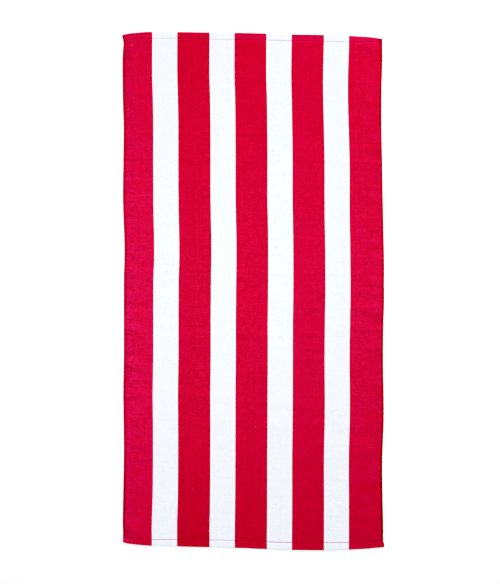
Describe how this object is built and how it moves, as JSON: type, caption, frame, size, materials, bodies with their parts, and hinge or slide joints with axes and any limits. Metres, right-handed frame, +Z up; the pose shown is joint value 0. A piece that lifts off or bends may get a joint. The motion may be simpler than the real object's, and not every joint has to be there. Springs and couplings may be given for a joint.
{
  "type": "beach towel",
  "caption": "Flat striped cotton beach towel with sewn end and side hems, lying face up with soft puckers along its sides.",
  "frame": {"origin": "middle of the underside, where the towel rests", "axes": "+Y along the towel's length, +X across its width, +Z up out of its face"},
  "size_m": [0.7712, 1.5274, 0.0054],
  "materials": {
    "striped_cotton": "cut-pile cotton terry woven in red and white lengthwise stripes",
    "hem_thread": "red polyester sewing thread"
  },
  "bodies": {
    "root": {"towel": "striped_cotton"}
  },
  "joints": []
}
